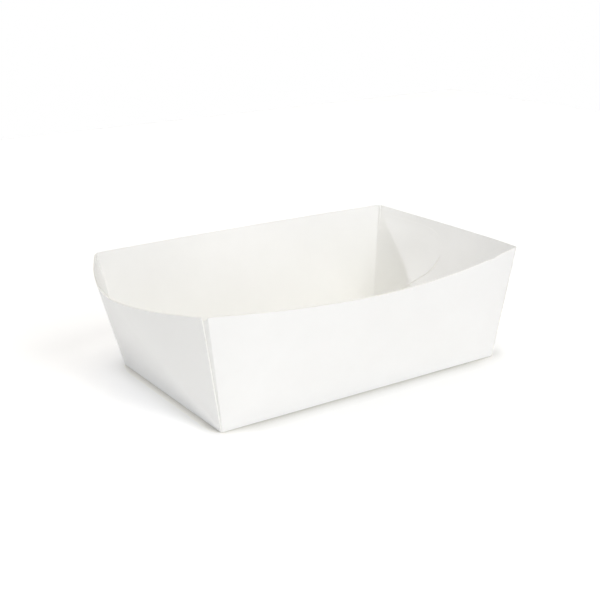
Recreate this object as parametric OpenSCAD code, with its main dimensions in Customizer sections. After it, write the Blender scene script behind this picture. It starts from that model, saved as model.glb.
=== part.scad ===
// Open fries tray folded from one sheet of white paperboard.
// The long walls carry rounded flaps that fold round the corners and are glued inside the end walls.
// The origin is at the centre of the underside, with +X along the length and +Z up.

/* [Bottom] */
// Length of the flat bottom, outside the end folds
base_length = 130; // [90:1:200]
// Width of the flat bottom, outside the side folds
base_width = 81.5; // [60:0.5:130]

/* [Walls] */
// Height of the rim above the table at the four corners
corner_height = 47; // [30:1:80]
// Outward lean of each long wall at its corners
side_flare = 5.3; // [2:0.1:14]
// Outward lean of each end wall at its corners
end_flare = 6.5; // [2:0.1:14]
// How far the rim of each long wall bows out at its middle
side_bow = 10.4; // [0:0.2:14]
// How far the rim of each end wall bows out at its middle
end_bow = 15.6; // [0:0.2:17]

/* [Board] */
// Thickness of the board
board = 0.45; // [0.3:0.05:0.8]
// Length of the curve that a fold takes from each of its two panels
fold_round = 0.9; // [0.8:0.05:1.4]

/* [Glue flaps] */
// Reach of a flap along the end wall, from the base corner to its nose
flap_reach = 31; // [24:0.5:36]
// Radius of the flap's rounded nose
flap_nose = 11.5; // [5:0.5:12]
// Distance from the rim down to the flap's top edge
flap_drop = 4.4; // [2.5:0.1:8]
// Gap at the rim between the corner fold and the cut edge of the end wall
edge_setback = 1.9; // [1.6:0.1:3]
// Depth of the slit below the rim at each corner
slit_depth = 2; // [1:0.1:2.4]

/* [Hidden] */

// Number of facets along half a long wall, half an end wall and the part of a flap inside it
side_steps = 10;
end_steps = 12;
flap_steps = 6;
// Number of facets up a wall, from the bottom fold to the flap's top edge
level_steps = 9;
// Number of facets round a fold
fold_steps = 3;
// Width of the sliver between the two edges of a step in the surface
step_width = 0.12;

// The corner fold line starts one board inside the end wall's outer face
inner_length = base_length - 2 * board;
// Levels are shares of the wall height: 0 is the base fold and 1 the rim
fold_level = fold_round / corner_height;
slit_level = 1 - slit_depth / corner_height;
flap_level = 1 - flap_drop / corner_height;
flap_top = flap_level * corner_height;
step_level = step_width / corner_height;
// The rings lie closer together towards the flap's rounded top
wall_levels = concat(
    [for (i = [level_steps : -1 : 0]) flap_level - (flap_level - fold_level) * pow(i / level_steps, 1.3)],
    [flap_level + step_level, 1]);

// The top edge of each flat panel is cut straight, so bowing it out lowers its middle by this much
function rim_dip(flare, bow) =
    corner_height - sqrt(pow(corner_height, 2) + pow(flare, 2) - pow(flare + bow, 2));

// Span of a wall from corner fold to corner fold at a level
function side_span(level) = inner_length + 2 * end_flare * level;
function end_span(level) = base_width + 2 * side_flare * level;

// Share of the full bow at a distance from the corner fold.
// Each end of a wall is a cone about its base corner, and the middle is a flat triangle.
function swell(from_corner, level, rim_span) =
    let (share = level > 0 ? min(0.5, from_corner / (level * rim_span)) : 0.5)
    1 - pow(1 - 2 * share, 2);

// Point on the outer face of the long wall, in the quarter with +X and +Y
function side_face(from_corner, level) =
    let (s = swell(from_corner, level, side_span(1)))
    [side_span(level) / 2 - from_corner,
     base_width / 2 + level * (side_flare + side_bow * s),
     level * (corner_height - rim_dip(side_flare, side_bow) * s)];

// Point between the flap and the end wall, where the two are glued face to face
function end_face(from_corner, level) =
    let (s = swell(from_corner, level, end_span(1)))
    [inner_length / 2 + level * (end_flare + end_bow * s),
     end_span(level) / 2 - from_corner,
     level * (corner_height - rim_dip(end_flare, end_bow) * s)];

// Outward normals, from three nearby points of each face
function unit(v) = v / norm(v);
function side_normal(d, level, e = 0.01) =
    let (p = side_face(d, level + e))
    unit(cross(p - side_face(d, level), p - side_face(d + e, level + e)));
function end_normal(d, level, e = 0.01) =
    let (p = end_face(d, level + e))
    unit(cross(p - end_face(d, level), end_face(d + e, level + e) - p));

// Points moved off each face by a depth, which is positive towards the outside
function side_point(d, level, depth) = side_face(d, level) + depth * side_normal(d, level);
function end_point(d, level, depth) = end_face(d, level) + depth * end_normal(d, level);

// Corner where the two faces, each moved by the same depth, meet
function corner_point(level, depth) =
    let (a = side_normal(0, level), b = end_normal(0, level))
    end_face(0, level) + depth * (a + b) / (1 + a * b);

// Curve of a fold: it starts at a, heads for the sharp corner b and ends at c
function fold_curve(a, b, c, share) =
    pow(1 - share, 2) * a + 2 * share * (1 - share) * b + pow(share, 2) * c;

// Distance from the corner fold to the end wall's cut edge, and to the flap's outline
function cut_edge(level) =
    let (start = fold_round + step_width)
    start + (edge_setback - start) * level;
function flap_outline(level) =
    let (centre_x = flap_reach - flap_nose,
         centre_z = flap_top - flap_nose,
         lower_angle = atan2(centre_z, centre_x) - asin(flap_nose / norm([centre_x, centre_z])),
         tangent_z = centre_z - flap_nose * cos(lower_angle),
         z = level * corner_height,
         x = z < tangent_z ? z / tan(lower_angle)
             : centre_x + sqrt(max(0, pow(flap_nose, 2) - pow(z - centre_z, 2))))
    max(x + side_flare * level, cut_edge(level) + 4 * step_width);

// Quarter outline at a level, from the middle of the long wall to the middle of the end wall.
// Depth 0 is the outer skin and -board the inner one. Every column of one skin has its match in the other.
function side_columns(level, depth) =
    [for (i = [0 : side_steps])
        let (half = side_span(level) / 2)
        side_point(half - (half - fold_round) * i / side_steps, level, depth)];

function fold_columns(level, depth) =
    let (start = side_point(fold_round, level, depth),
         sharp = corner_point(level, depth),
         finish = end_point(fold_round, level, depth))
    concat(
        [for (i = [1 : fold_steps]) fold_curve(start, sharp, finish, i / fold_steps)],
        [end_point(cut_edge(level), level, depth)]);

function spread(first, last, steps) = [for (i = [0 : steps]) first + (last - first) * i / steps];

// The end wall lies outside the glue face, and below the flap's top edge the flap lies inside it
function end_columns(level, depth) =
    let (middle = end_span(level) / 2,
         first = cut_edge(level) + step_width)
    depth == 0 || level > flap_level
        ? [for (d = spread(first, middle, end_steps)) end_point(d, level, depth + board)]
        : concat(
            [for (d = spread(first, flap_outline(level), flap_steps)) end_point(d, level, -board)],
            [for (d = spread(flap_outline(level) + step_width, middle, end_steps - flap_steps - 1))
                end_point(d, level, 0)]);

function quarter(level, depth) = concat(
    side_columns(level, depth),
    fold_columns(level * slit_level, depth),
    end_columns(level, depth));

// The quarter and its mirror image make one half, and half a turn makes the other half
function reversed(points) = [for (i = [len(points) - 2 : -1 : 1]) points[i]];
function scaled(points, x, y) = [for (p = points) [p.x * x, p.y * y, p.z]];
function whole_ring(points) =
    let (half = concat(points, scaled(reversed(points), 1, -1)))
    concat(half, scaled(half, -1, -1));

// The bottom panel's outline, and the same outline drawn in by the width of the bottom folds
function at_height(points, z) = [for (p = points) [p.x, p.y, z]];
function drawn_in(points) =
    let (x = 1 - 2 * fold_round / base_length, y = 1 - 2 * fold_round / base_width)
    scaled(points, x, y);

// Rings of one skin from the bottom panel up to the rim
function skin(depth) =
    let (floor_z = -depth,
         edge = at_height(quarter(floor_z / corner_height, depth), floor_z),
         panel = drawn_in(edge),
         wall = quarter(fold_level, depth))
    concat(
        [for (i = [0 : fold_steps - 1])
            [for (j = [0 : len(edge) - 1]) fold_curve(panel[j], edge[j], wall[j], i / fold_steps)]],
        [for (level = wall_levels) quarter(level, depth)]);

module folded_sheet() {
    outer = [for (row = skin(0)) whole_ring(row)];
    inner = [for (row = skin(-board)) whole_ring(row)];
    rows = len(outer);
    columns = len(outer[0]);
    skin_size = rows * columns;
    points = concat(
        [for (rings = [outer, inner]) for (ring = rings) each ring],
        [[0, 0, 0], [0, 0, board]]);
    function next(j) = (j + 1) % columns;
    outer_faces = [for (i = [0 : rows - 2]) for (j = [0 : columns - 1])
        each [[i * columns + j, (i + 1) * columns + next(j), (i + 1) * columns + j],
              [i * columns + j, i * columns + next(j), (i + 1) * columns + next(j)]]];
    inner_faces = [for (f = outer_faces) [for (k = [2 : -1 : 0]) f[k] + skin_size]];
    top = (rows - 1) * columns;
    rim_faces = [for (j = [0 : columns - 1])
        each [[top + j, top + skin_size + next(j), top + skin_size + j],
              [top + j, top + next(j), top + skin_size + next(j)]]];
    bottom_faces = [for (j = [0 : columns - 1])
        each [[2 * skin_size, next(j), j],
              [2 * skin_size + 1, skin_size + j, skin_size + next(j)]]];
    polyhedron(points, concat(outer_faces, inner_faces, rim_faces, bottom_faces));
}

module tray() {
    color([0.95, 0.95, 0.93]) folded_sheet();
}

tray();
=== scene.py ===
"""Looks of an open fries tray folded from one sheet of white paperboard.

The sheet is one closed mesh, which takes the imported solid's place, with its folds, glue flaps and cut edges.
"""

import math

import bpy
from mathutils import Matrix, Vector, noise


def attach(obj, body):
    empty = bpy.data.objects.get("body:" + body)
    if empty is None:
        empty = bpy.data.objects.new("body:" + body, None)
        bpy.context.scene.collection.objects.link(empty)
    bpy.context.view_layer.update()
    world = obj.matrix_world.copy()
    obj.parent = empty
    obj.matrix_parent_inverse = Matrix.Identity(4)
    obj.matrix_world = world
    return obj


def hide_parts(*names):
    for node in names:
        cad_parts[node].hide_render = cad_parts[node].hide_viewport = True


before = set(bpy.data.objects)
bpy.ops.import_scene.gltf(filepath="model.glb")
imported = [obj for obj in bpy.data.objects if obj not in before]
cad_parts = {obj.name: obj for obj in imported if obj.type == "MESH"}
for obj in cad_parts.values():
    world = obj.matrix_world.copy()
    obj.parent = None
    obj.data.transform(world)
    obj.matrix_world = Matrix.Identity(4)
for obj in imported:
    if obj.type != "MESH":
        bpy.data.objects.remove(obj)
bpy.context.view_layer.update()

MM = 0.001

# The sheet, in millimetres, as it stands in the photograph
BOARD = 0.45
BASE_LENGTH = 130.0
BASE_WIDTH = 81.4
CORNER_HEIGHT = 47.5
SIDE_FLARE = 5.4
END_FLARE = 6.5
INNER_LENGTH = BASE_LENGTH - 2 * BOARD

# How each rim bows out and dips at its middle, and how full the curve is: 2 is a parabola
RIMS = {
    "front": {"bow": 10.3, "dip": 2.5, "fullness": 1.85},
    "right": {"bow": 16.2, "dip": 5.8, "fullness": 2.0},
    "back": {"bow": 10.3, "dip": 2.5, "fullness": 2.0},
    "left": {"bow": 15.4, "dip": 3.1, "fullness": 1.7},
}
# Each top corner: the small pull of a sheet that isn't folded quite square, and the notch in its fold
CORNERS = {
    "front_left": {"pull": (-0.5, -0.2, -0.9), "setback": 1.9, "notch": 1.6},
    "front_right": {"pull": (-0.2, 0.2, 0.1), "setback": 1.1, "notch": 0.8},
    "back_right": {"pull": (0.3, 0.1, 0.0), "setback": 0.9, "notch": 0.5},
    "back_left": {"pull": (-0.6, 0.2, 0.6), "setback": 1.0, "notch": 0.6},
}
# Nicks that the cutting die left in a rim: distance from the wall's start, half width, and depth or rise
NICKS = {
    "front": ((126.0, 3.5, 0.35), (133.0, 3.0, -0.2)),
    "left": ((33.0, 0.9, 0.3), (62.0, 0.7, 0.25)),
}

# Rounds of the folds, and the width of the sliver between the two edges of a step in the surface
OUTER_ROUND = 0.25
INNER_ROUND = 0.4
BASE_ROUND = 0.3
STEP = 0.05
# Share of a corner's notch that its fold takes. The strip before the cut edge sinks by the rest
NOTCH_SHARE = 0.4
# Glue flaps: reach to the nose, radius of the nose, drop below the rim, and least width past the fold
FLAP_REACH = 28.9
FLAP_NOSE = 12.4
FLAP_DROP = 3.6
FLAP_LEVEL = 1 - FLAP_DROP / CORNER_HEIGHT
FLAP_LEAST = 1.0
# Pressing has thinned each flap along its top and round its nose, and its edge is thicker lower down
PRESSED_EDGE = 0.006
PRESSED_WIDTH = 8.0
LOWER_EDGE = 0.34
LOWER_EDGE_START = FLAP_NOSE - 2.5
LOWER_EDGE_CHANGE = 3.0

# Facets along each stretch of the sheet
SIDE_STEPS = 72
FOLD_STEPS = 6
FLAP_STEPS = 30
MIDDLE_STEPS = 34
LEVEL_STEPS = 44
RIM_STEPS = 4
# How much closer together the rings lie towards the flap's top: 1 is evenly spaced
RING_CROWDING = 1.3
# Distances along and up a wall, the second a share of its height, over which its slope is taken
SLOPE_RUN = 0.5
SLOPE_RISE = 0.02
# Edges that bend more than this, in degrees, look sharp
SHARP_ANGLE = 40

# Slow waviness of the panels, which fades out over the lowest third of a wall
WAVE_HEIGHT = 0.14
WAVE_LENGTH = 34.0
WAVE_RISE = 3

FACE, CUT = 0, 1


class Wall:
    """One wall of the tray, from one base corner to the next, with a flat middle and a cone at each end."""

    def __init__(self, name, start, end, outward, seed):
        self.start, self.start_top, self.start_corner = start
        self.end, self.end_top, self.end_corner = end
        self.outward = Vector(outward)
        self.rim = RIMS[name]
        self.nicks = NICKS.get(name, ())
        self.seed = seed
        self.along = (self.end - self.start).normalized()
        self.rim_span = (self.end_top - self.start_top).dot(self.along)
        self.base_span = (self.end - self.start).length
        self.rim_middle = self.rim_point(0.5)

    def span(self, level):
        return self.base_span * (1 - level) + self.rim_span * level

    def rim_point(self, share):
        swell = 1 - abs(2 * share - 1) ** self.rim["fullness"]
        straight = self.start_top.lerp(self.end_top, share)
        return straight + swell * (self.rim["bow"] * self.outward - Vector((0, 0, self.rim["dip"])))

    def face(self, run, level):
        """Point of the face at a run from the start corner, measured along the wall."""
        half = self.rim_span * level / 2
        from_end = self.span(level) - run
        if run < half:
            return self.start.lerp(self.rim_point(run / (2 * half)), level)
        if from_end < half:
            return self.end.lerp(self.rim_point(1 - from_end / (2 * half)), level)
        return self.start.lerp(self.rim_middle, level) + (run - half) * self.along

    def wave(self, run, level):
        window = math.sin(math.pi * min(1, max(0, run / self.span(level)))) * min(1, WAVE_RISE * level)
        spot = Vector((run / WAVE_LENGTH, level * CORNER_HEIGHT / WAVE_LENGTH, self.seed))
        return WAVE_HEIGHT * window * noise.noise(spot)

    def normal(self, run, level):
        above = level + SLOPE_RISE
        up = self.face(run, above) - self.face(run, level)
        side = self.face(run + SLOPE_RUN, above) - self.face(run - SLOPE_RUN, above)
        return side.cross(up).normalized()

    def point(self, run, level, depth):
        """Point moved off the face by a depth, which is positive towards the outside."""
        if level == 1:
            for place, half_width, drop in self.nicks:
                level -= drop / CORNER_HEIGHT * max(0, 1 - abs(run - place) / half_width)
        normal = self.normal(run, level)
        return self.face(run, level) + (depth + self.wave(run, level)) * normal


def tray_walls():
    half_x, half_y = INNER_LENGTH / 2, BASE_WIDTH / 2
    signs = {"front_left": (-1, -1), "front_right": (1, -1), "back_right": (1, 1), "back_left": (-1, 1)}
    corners = {}
    for name, (x, y) in signs.items():
        base = Vector((x * half_x, y * half_y, 0))
        top = Vector((x * (half_x + END_FLARE), y * (half_y + SIDE_FLARE), CORNER_HEIGHT))
        corners[name] = base, top + Vector(CORNERS[name]["pull"]), CORNERS[name]
    order = [
        ("front", "front_left", "front_right", (0, -1, 0)),
        ("right", "front_right", "back_right", (1, 0, 0)),
        ("back", "back_right", "back_left", (0, 1, 0)),
        ("left", "back_left", "front_left", (-1, 0, 0)),
    ]
    return [
        Wall(name, corners[start], corners[end], outward, seed)
        for seed, (name, start, end, outward) in enumerate(order)
    ]


def curve(a, b, c, share):
    """Curve of a fold from a to c, heading for the sharp corner b."""
    return a * (1 - share) ** 2 + b * (2 * share * (1 - share)) + c * share**2


def cut_edge(corner, level):
    """Distance from the corner fold to the end wall's cut edge."""
    start = OUTER_ROUND + STEP
    return start + (corner["setback"] - start) * level


def flap_outline(corner, level):
    """Distance from the corner fold to the flap's outline: a straight lower edge, then a round nose."""
    centre_x = FLAP_REACH - FLAP_NOSE
    centre_z = FLAP_LEVEL * CORNER_HEIGHT - FLAP_NOSE
    lower = math.atan2(centre_z, centre_x) - math.asin(FLAP_NOSE / math.hypot(centre_x, centre_z))
    tangent_z = centre_z - FLAP_NOSE * math.cos(lower)
    z = level * CORNER_HEIGHT
    if z < tangent_z:
        x = z / math.tan(lower)
    else:
        x = centre_x + math.sqrt(max(0.0, FLAP_NOSE**2 - (z - centre_z) ** 2))
    return max(x + SIDE_FLARE * level, INNER_ROUND + cut_edge(corner, level) + FLAP_LEAST)


def side_column(wall, share):
    def at(level):
        points = []
        for depth, round_off in ((0, OUTER_ROUND), (-BOARD, INNER_ROUND)):
            run = round_off + (wall.span(level) - 2 * round_off) * share
            points.append(wall.point(run, level, depth))
        return points

    return at


def notch_level(corner, level, share):
    """Level of a column at a share of the way across the notch, which deepens towards the cut edge."""
    return level * (1 - share * corner["notch"] / CORNER_HEIGHT)


def fold_column(before, after, share, flap_after):
    """A column round the corner fold. It sinks below the rim towards the end wall's cut edge."""

    def at(level):
        level = notch_level(after.start_corner, level, NOTCH_SHARE * (share if flap_after else 1 - share))
        points = []
        for depth, round_off in ((0, OUTER_ROUND), (-BOARD, INNER_ROUND)):
            a = before.point(before.span(level) - round_off, level, depth)
            c = after.point(round_off, level, depth)
            n_before, n_after = before.normal(before.span(level), level), after.normal(0, level)
            b = after.face(0, level) + depth * (n_before + n_after) / (1 + n_before.dot(n_after))
            points.append(curve(a, b, c, share))
        return points

    return at


def strip_column(wall, at_start):
    """The last of the flap's fold that shows outside, before the end wall's cut edge."""
    corner = wall.start_corner if at_start else wall.end_corner

    def at(level):
        level = notch_level(corner, level, 1)
        points = []
        for depth, run in ((0, cut_edge(corner, level)), (-BOARD, inner_edge(corner, level))):
            run = run if at_start else wall.span(level) - run
            points.append(wall.point(run, level, depth))
        return points

    return at


def inner_edge(corner, level):
    """Distance from the corner fold to where the flap's inner face starts, past the round of the fold."""
    return max(cut_edge(corner, level), INNER_ROUND + 2 * STEP)


def flap_depth(level, from_outline):
    """The flap's inner face. Glue and pressing have thinned the flap along its top and its nose."""
    if level > FLAP_LEVEL:
        return 0.0
    below_top = (FLAP_LEVEL - level) * CORNER_HEIGHT
    inside = min(1, min(from_outline, below_top) / PRESSED_WIDTH)
    lower = min(1, max(0, (below_top - LOWER_EDGE_START) / LOWER_EDGE_CHANGE))
    edge = PRESSED_EDGE + (LOWER_EDGE - PRESSED_EDGE) * lower
    return -edge - (BOARD - edge) * inside * inside * (3 - 2 * inside)


def inner_station(wall, index, level):
    """Run and depth of an end wall's inner face: a flap, the bare middle, then the other flap."""
    last_flap = FLAP_STEPS + 1 + MIDDLE_STEPS + 1
    edges, outlines = [], []
    for corner in (wall.start_corner, wall.end_corner):
        edges.append(inner_edge(corner, level) + STEP)
        outlines.append(flap_outline(corner, min(level, FLAP_LEVEL)))
    if index <= FLAP_STEPS:
        run = edges[0] + (outlines[0] - edges[0]) * index / FLAP_STEPS
        return run, flap_depth(level, outlines[0] - run)
    span = wall.span(level)
    if index >= last_flap:
        from_end = outlines[1] - (outlines[1] - edges[1]) * (index - last_flap) / FLAP_STEPS
        return span - from_end, flap_depth(level, outlines[1] - from_end)
    start, finish = outlines[0] + STEP, span - outlines[1] - STEP
    return start + (finish - start) * (index - FLAP_STEPS - 1) / MIDDLE_STEPS, 0.0


END_STATIONS = 2 * (FLAP_STEPS + 1) + MIDDLE_STEPS + 1


def end_column(wall, index):
    def at(level):
        start = cut_edge(wall.start_corner, level) + STEP
        finish = wall.span(level) - cut_edge(wall.end_corner, level) - STEP
        outer_run = start + (finish - start) * index / (END_STATIONS - 1)
        inner_run, inner_depth = inner_station(wall, index, level)
        return [wall.point(outer_run, level, BOARD), wall.point(inner_run, level, inner_depth)]

    return at


def tray_columns():
    """Columns anticlockwise round the tray, and the indexes of those that a step follows on each skin."""
    front, right, back, left = tray_walls()
    columns, outer_steps, inner_steps = [], set(), set()

    def side(wall):
        columns.extend(side_column(wall, i / SIDE_STEPS) for i in range(SIDE_STEPS + 1))

    def fold(before, after, flap_after):
        shares = [i / FOLD_STEPS for i in range(FOLD_STEPS + 1)]
        shares = shares[1:] if flap_after else shares[:-1]
        columns.extend(fold_column(before, after, share, flap_after) for share in shares)

    def end(wall):
        columns.append(strip_column(wall, True))
        outer_steps.add(len(columns) - 1)
        first_step = len(columns) + FLAP_STEPS
        last_step = first_step + 1 + MIDDLE_STEPS
        inner_steps.update((first_step, last_step))
        columns.extend(end_column(wall, i) for i in range(END_STATIONS))
        outer_steps.add(len(columns) - 1)
        columns.append(strip_column(wall, False))

    side(front)
    fold(front, right, True)
    end(right)
    fold(right, back, False)
    side(back)
    fold(back, left, True)
    end(left)
    fold(left, front, False)
    return columns, outer_steps, inner_steps


def tray_levels():
    lowest = BASE_ROUND / CORNER_HEIGHT
    shares = [(i / LEVEL_STEPS) ** RING_CROWDING for i in range(LEVEL_STEPS, -1, -1)]
    wall = [FLAP_LEVEL - (FLAP_LEVEL - lowest) * share for share in shares]
    above = FLAP_LEVEL + STEP / CORNER_HEIGHT
    return wall + [above + (1 - above) * i / RIM_STEPS for i in range(RIM_STEPS + 1)]


def base_rings(columns):
    """Rings round the bottom folds, from the flat bottom up to where the walls start."""
    wall = [column(BASE_ROUND / CORNER_HEIGHT) for column in columns]
    edge = [column(0.0) for column in columns]
    rings = []
    for i in range(FOLD_STEPS):
        ring = []
        for starts, corners in zip(wall, edge):
            pair = []
            for start, sharp, height in zip(starts, corners, (0.0, BOARD)):
                sharp = Vector((sharp.x, sharp.y, height))
                drawn_x = 1 - 2 * BASE_ROUND / BASE_LENGTH
                drawn_y = 1 - 2 * BASE_ROUND / BASE_WIDTH
                panel = Vector((sharp.x * drawn_x, sharp.y * drawn_y, height))
                pair.append(curve(panel, sharp, start, i / FOLD_STEPS))
            ring.append(pair)
        rings.append(ring)
    return rings


def build_sheet():
    """The whole folded sheet as one closed mesh of quads, with the cut edges in their own material."""
    columns, outer_steps, inner_steps = tray_columns()
    levels = tray_levels()
    rings = base_rings(columns) + [[column(level) for column in columns] for level in levels]
    nose_row = FOLD_STEPS + sum(level < FLAP_LEVEL - FLAP_NOSE / CORNER_HEIGHT for level in levels)
    count, rows = len(columns), len(rings)
    verts = [pair[skin] * MM for skin in (0, 1) for ring in rings for pair in ring]
    faces, kinds = [], []

    def add(corners, kind):
        faces.append(corners)
        kinds.append(kind)

    for skin in (0, 1):
        for i in range(rows - 1):
            for j in range(count):
                k = (j + 1) % count
                a = skin * rows * count + i * count
                quad = [a + j, a + k, a + count + k, a + count + j]
                if skin == 0:
                    add(quad, CUT if j in outer_steps else FACE)
                else:
                    add(quad[::-1], CUT if j in inner_steps and i < nose_row else FACE)
    rim = (rows - 1) * count
    for j in range(count):
        k = (j + 1) % count
        add([rim + j, rim + k, rows * count + rim + k, rows * count + rim + j], CUT)
    verts.append(Vector((0, 0, 0)))
    verts.append(Vector((0, 0, BOARD * MM)))
    under, floor = 2 * rows * count, 2 * rows * count + 1
    for j in range(count):
        k = (j + 1) % count
        add([under, k, j], FACE)
        add([floor, rows * count + j, rows * count + k], FACE)
    return verts, faces, kinds


def mesh_object(name, verts, faces, kinds, materials):
    mesh = bpy.data.meshes.new(name)
    mesh.from_pydata(verts, [], faces)
    for material in materials:
        mesh.materials.append(material)
    mesh.polygons.foreach_set("material_index", kinds)
    mesh.polygons.foreach_set("use_smooth", [True] * len(faces))
    mesh.set_sharp_from_angle(angle=math.radians(SHARP_ANGLE))
    mesh.update()
    piece = bpy.data.objects.new(name, mesh)
    bpy.context.scene.collection.objects.link(piece)
    return piece


# Shades of the board and of its cut edge, each from the darkest spots to the lightest
BOARD_SHADES = ((0.911, 0.906, 0.882), (0.923, 0.919, 0.896))
EDGE_SHADES = ((0.88, 0.855, 0.8), (0.92, 0.905, 0.87))
# Roughness of the board, written as greys
SHEEN_SHADES = ((0.58, 0.58, 0.58), (0.66, 0.66, 0.66))


def node_material(name):
    material = bpy.data.materials.new(name)
    material.use_nodes = True
    nodes = material.node_tree.nodes
    shader = next(n for n in nodes if n.type == "BSDF_PRINCIPLED")
    return material, nodes, material.node_tree.links, shader


def noise_node(nodes, links, scale, detail, roughness):
    coords = nodes.new("ShaderNodeTexCoord")
    texture = nodes.new("ShaderNodeTexNoise")
    texture.inputs["Scale"].default_value = scale
    texture.inputs["Detail"].default_value = detail
    texture.inputs["Roughness"].default_value = roughness
    links.new(coords.outputs["Object"], texture.inputs["Vector"])
    return texture


def ramp_node(nodes, links, source, low, high, shades):
    """Ramp from one shade to another, as the source value goes from low to high."""
    ramp = nodes.new("ShaderNodeValToRGB")
    for stop, position, shade in zip(ramp.color_ramp.elements, (low, high), shades):
        stop.position = position
        stop.color = (*shade, 1)
    links.new(source, ramp.inputs["Fac"])
    return ramp


def bump_node(nodes, links, height, strength, distance, before=None):
    bump = nodes.new("ShaderNodeBump")
    bump.inputs["Strength"].default_value = strength
    bump.inputs["Distance"].default_value = distance
    links.new(height, bump.inputs["Height"])
    if before:
        links.new(before.outputs["Normal"], bump.inputs["Normal"])
    return bump


def paperboard():
    """Smooth white board: faint clouding, fine fibres and a soft sheen."""
    material, nodes, links, shader = node_material("paperboard")
    clouds = noise_node(nodes, links, scale=90, detail=4, roughness=0.6)
    colour = ramp_node(nodes, links, clouds.outputs["Fac"], 0.3, 0.7, BOARD_SHADES)
    links.new(colour.outputs["Color"], shader.inputs["Base Color"])
    fibres = noise_node(nodes, links, scale=2600, detail=5, roughness=0.65)
    ripple = noise_node(nodes, links, scale=420, detail=3, roughness=0.5)
    fine = bump_node(nodes, links, fibres.outputs["Fac"], strength=0.25, distance=0.04 * MM)
    both = bump_node(nodes, links, ripple.outputs["Fac"], strength=0.3, distance=0.06 * MM, before=fine)
    links.new(both.outputs["Normal"], shader.inputs["Normal"])
    sheen = ramp_node(nodes, links, ripple.outputs["Fac"], 0.3, 0.7, SHEEN_SHADES)
    links.new(sheen.outputs["Color"], shader.inputs["Roughness"])
    shader.inputs["Specular IOR Level"].default_value = 0.3
    return material


def cut_board():
    """The board's cut edge: bare rough fibres, with a few browner spots."""
    material, nodes, links, shader = node_material("cut_board")
    spots = noise_node(nodes, links, scale=260, detail=3, roughness=0.6)
    colour = ramp_node(nodes, links, spots.outputs["Fac"], 0.3, 0.42, EDGE_SHADES)
    links.new(colour.outputs["Color"], shader.inputs["Base Color"])
    fibres = noise_node(nodes, links, scale=4200, detail=4, roughness=0.7)
    rough = bump_node(nodes, links, fibres.outputs["Fac"], strength=0.3, distance=0.04 * MM)
    links.new(rough.outputs["Normal"], shader.inputs["Normal"])
    shader.inputs["Roughness"].default_value = 0.85
    shader.inputs["Specular IOR Level"].default_value = 0.2
    return material


def make_tray():
    verts, faces, kinds = build_sheet()
    tray = mesh_object("folded_tray", verts, faces, kinds, [paperboard(), cut_board()])
    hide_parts("tray")
    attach(tray, "root")


# Floor, in metres: its size, how far it lies below the tray, how it reflects, and its glow to the camera
FLOOR_SIZE = 1.2
FLOOR_GAP = 0.00003
FLOOR_COLOR = (0.9, 0.9, 0.9)
FLOOR_GLOW = 0.32
# The floor before the front wall is bright enough without the glow: place, radii and glow there
BRIGHT_PLACE = (0.0, -0.046)
BRIGHT_RADII = (0.08, 0.032)
BRIGHT_EDGE = 0.35
BRIGHT_GLOW = 0.03
# The contact shadow: how far it reaches, and its tones from the tray's foot outwards
CONTACT_REACH = 0.008
CONTACT_SAMPLES = 12
CONTACT_TONES = (
    (0.28, (0.5, 0.485, 0.44)),
    (0.37, (0.66, 0.65, 0.61)),
    (0.45, (0.775, 0.768, 0.74)),
    (0.55, (0.845, 0.84, 0.82)),
    (0.65, (0.88, 0.877, 0.865)),
    (0.8, (0.925, 0.924, 0.918)),
    (1.0, (0.98, 0.98, 0.98)),
)


def contact_shade(nodes, links):
    """Tone of the floor from how closely the tray stands over it."""
    occlusion = nodes.new("ShaderNodeAmbientOcclusion")
    occlusion.samples = CONTACT_SAMPLES
    occlusion.inputs["Distance"].default_value = CONTACT_REACH
    ramp = nodes.new("ShaderNodeValToRGB")
    stops = ramp.color_ramp.elements
    for position, _ in CONTACT_TONES[1:-1]:
        stops.new(position)
    for stop, (position, shade) in zip(stops, CONTACT_TONES):
        stop.position = position
        stop.color = (*shade, 1)
    links.new(occlusion.outputs["AO"], ramp.inputs["Fac"])
    return ramp.outputs["Color"]


def glow_strength(nodes, links):
    """The floor's even glow, which fades to nearly none before the front wall."""
    place = nodes.new("ShaderNodeTexCoord")
    bright = nodes.new("ShaderNodeMapping")
    bright.vector_type = "TEXTURE"
    bright.inputs["Location"].default_value = (*BRIGHT_PLACE, 0)
    bright.inputs["Scale"].default_value = (*BRIGHT_RADII, 1)
    pool = nodes.new("ShaderNodeTexGradient")
    pool.gradient_type = "SPHERICAL"
    fade = nodes.new("ShaderNodeMapRange")
    fade.inputs["From Max"].default_value = BRIGHT_EDGE
    fade.inputs["To Min"].default_value = FLOOR_GLOW
    fade.inputs["To Max"].default_value = BRIGHT_GLOW
    links.new(place.outputs["Object"], bright.inputs["Vector"])
    links.new(bright.outputs["Vector"], pool.inputs["Vector"])
    links.new(pool.outputs["Fac"], fade.inputs["Value"])
    return fade.outputs["Result"]


def white_floor():
    """A plain floor for the light, on which only the camera sees the contact shadow and the glow."""
    material, nodes, links, shader = node_material("white_floor")
    contact = contact_shade(nodes, links)
    path = nodes.new("ShaderNodeLightPath")
    tone = nodes.new("ShaderNodeMix")
    tone.data_type = "RGBA"
    tone.inputs["A"].default_value = (*FLOOR_COLOR, 1)
    glow = nodes.new("ShaderNodeMath")
    glow.operation = "MULTIPLY"
    links.new(path.outputs["Is Camera Ray"], tone.inputs["Factor"])
    links.new(contact, tone.inputs["B"])
    links.new(path.outputs["Is Camera Ray"], glow.inputs[0])
    links.new(glow_strength(nodes, links), glow.inputs[1])
    links.new(tone.outputs["Result"], shader.inputs["Base Color"])
    links.new(contact, shader.inputs["Emission Color"])
    links.new(glow.outputs["Value"], shader.inputs["Emission Strength"])
    shader.inputs["Roughness"].default_value = 1.0
    shader.inputs["Specular IOR Level"].default_value = 0.0
    return material


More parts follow.
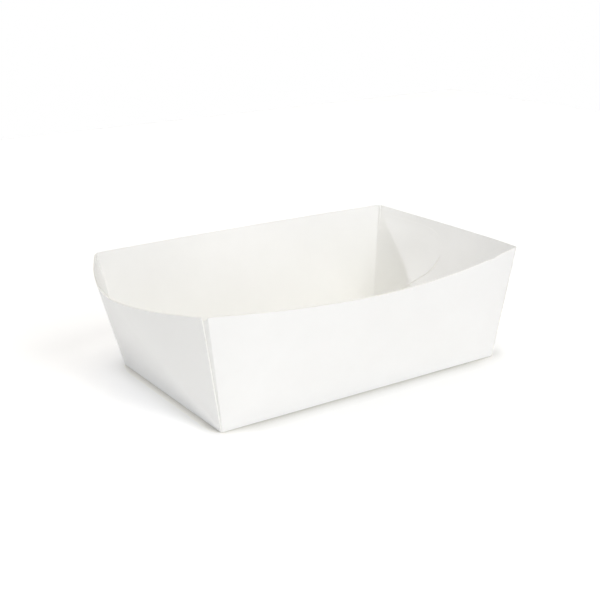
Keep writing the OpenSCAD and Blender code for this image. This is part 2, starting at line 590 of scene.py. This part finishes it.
def make_floor():
    half = FLOOR_SIZE / 2
    corners = [Vector((x * half, y * half, -FLOOR_GAP)) for x, y in ((-1, -1), (1, -1), (1, 1), (-1, 1))]
    floor = mesh_object("floor", corners, [[0, 1, 2, 3]], [0], [white_floor()])


def make_world():
    """White where the camera sees past the floor. The lamps give all the light."""
    world = bpy.data.worlds.new("white_studio")
    world.use_nodes = True
    nodes, links = world.node_tree.nodes, world.node_tree.links
    background = next(n for n in nodes if n.type == "BACKGROUND")
    background.inputs["Color"].default_value = (1, 1, 1, 1)
    path = nodes.new("ShaderNodeLightPath")
    links.new(path.outputs["Is Camera Ray"], background.inputs["Strength"])
    bpy.context.scene.world = world


# Soft lamps round the tray: azimuth, elevation, and power in red, green and blue
LAMP_DISTANCE = 3.2
LAMP_SIZE = 2.0
LAMPS = {
    "front_high": (20, 40, (43.9, 44.3, 43.3)),
    "front_low": (20, 12, (34.0, 34.4, 37.9)),
    "left": (-70, 12, (31.8, 32.3, 32.3)),
    "back_left": (-160, 12, (18.5, 18.8, 18.5)),
    "top": (0, 88, (44.3, 42.3, 39.4)),
}
# A weak harder light from behind, which draws the back wall's shadow inside the right wall
RAKE_DIRECTION = (0.815, -0.417, -0.402)
RAKE_SPREAD = 0.8
RAKE_POWER = (0.515, 0.525, 0.59)


def toward(azimuth, elevation):
    """Unit vector out to a place round the tray. Azimuth 0 is the front, and 90 the right end."""
    turn, rise = math.radians(azimuth), math.radians(elevation)
    return Vector((math.sin(turn) * math.cos(rise), -math.cos(turn) * math.cos(rise), math.sin(rise)))


def make_lamp(name, kind, power, direction):
    lamp = bpy.data.objects.new(name, bpy.data.lights.new(name, kind))
    lamp.data.energy = max(power)
    lamp.data.color = [channel / max(power) for channel in power]
    lamp.rotation_euler = direction.to_track_quat("-Z", "Y").to_euler()
    bpy.context.scene.collection.objects.link(lamp)
    return lamp


def make_lamps():
    for name, (azimuth, elevation, power) in LAMPS.items():
        out = toward(azimuth, elevation)
        lamp = make_lamp(name, "AREA", power, -out)
        lamp.data.size = LAMP_SIZE
        lamp.location = out * LAMP_DISTANCE
    rake = make_lamp("rake", "SUN", RAKE_POWER, Vector(RAKE_DIRECTION))
    rake.data.angle = math.radians(RAKE_SPREAD)


# Camera, from the photograph's corners and folds: angles in degrees, and places in millimetres
CAMERA_AZIMUTH = -33.22
CAMERA_ELEVATION = 18.39
CAMERA_ROLL = -0.87
CAMERA_DISTANCE = 458.0
CAMERA_RIGHT = -3.35
CAMERA_UP = 25.1
IMAGE_SIZE = 600
FOCAL_PIXELS = 1096.5
NEAR_CLIP = 0.01


def make_camera():
    back = toward(CAMERA_AZIMUTH, CAMERA_ELEVATION)
    level_right = (-back).cross(Vector((0, 0, 1))).normalized()
    level_up = level_right.cross(-back)
    place = back * CAMERA_DISTANCE + level_right * CAMERA_RIGHT + level_up * CAMERA_UP
    roll = math.radians(CAMERA_ROLL)
    right = level_right * math.cos(roll) + level_up * math.sin(roll)
    up = level_up * math.cos(roll) - level_right * math.sin(roll)
    camera = bpy.data.objects.new("camera", bpy.data.cameras.new("camera"))
    camera.data.lens = FOCAL_PIXELS / IMAGE_SIZE * camera.data.sensor_width
    camera.data.clip_start = NEAR_CLIP
    camera.matrix_world = Matrix.Translation(place * MM) @ Matrix((right, up, back)).transposed().to_4x4()
    bpy.context.scene.collection.objects.link(camera)
    bpy.context.scene.camera = camera


make_tray()
make_floor()
make_world()
make_lamps()
make_camera()
bpy.context.scene.view_settings.view_transform = "Standard"
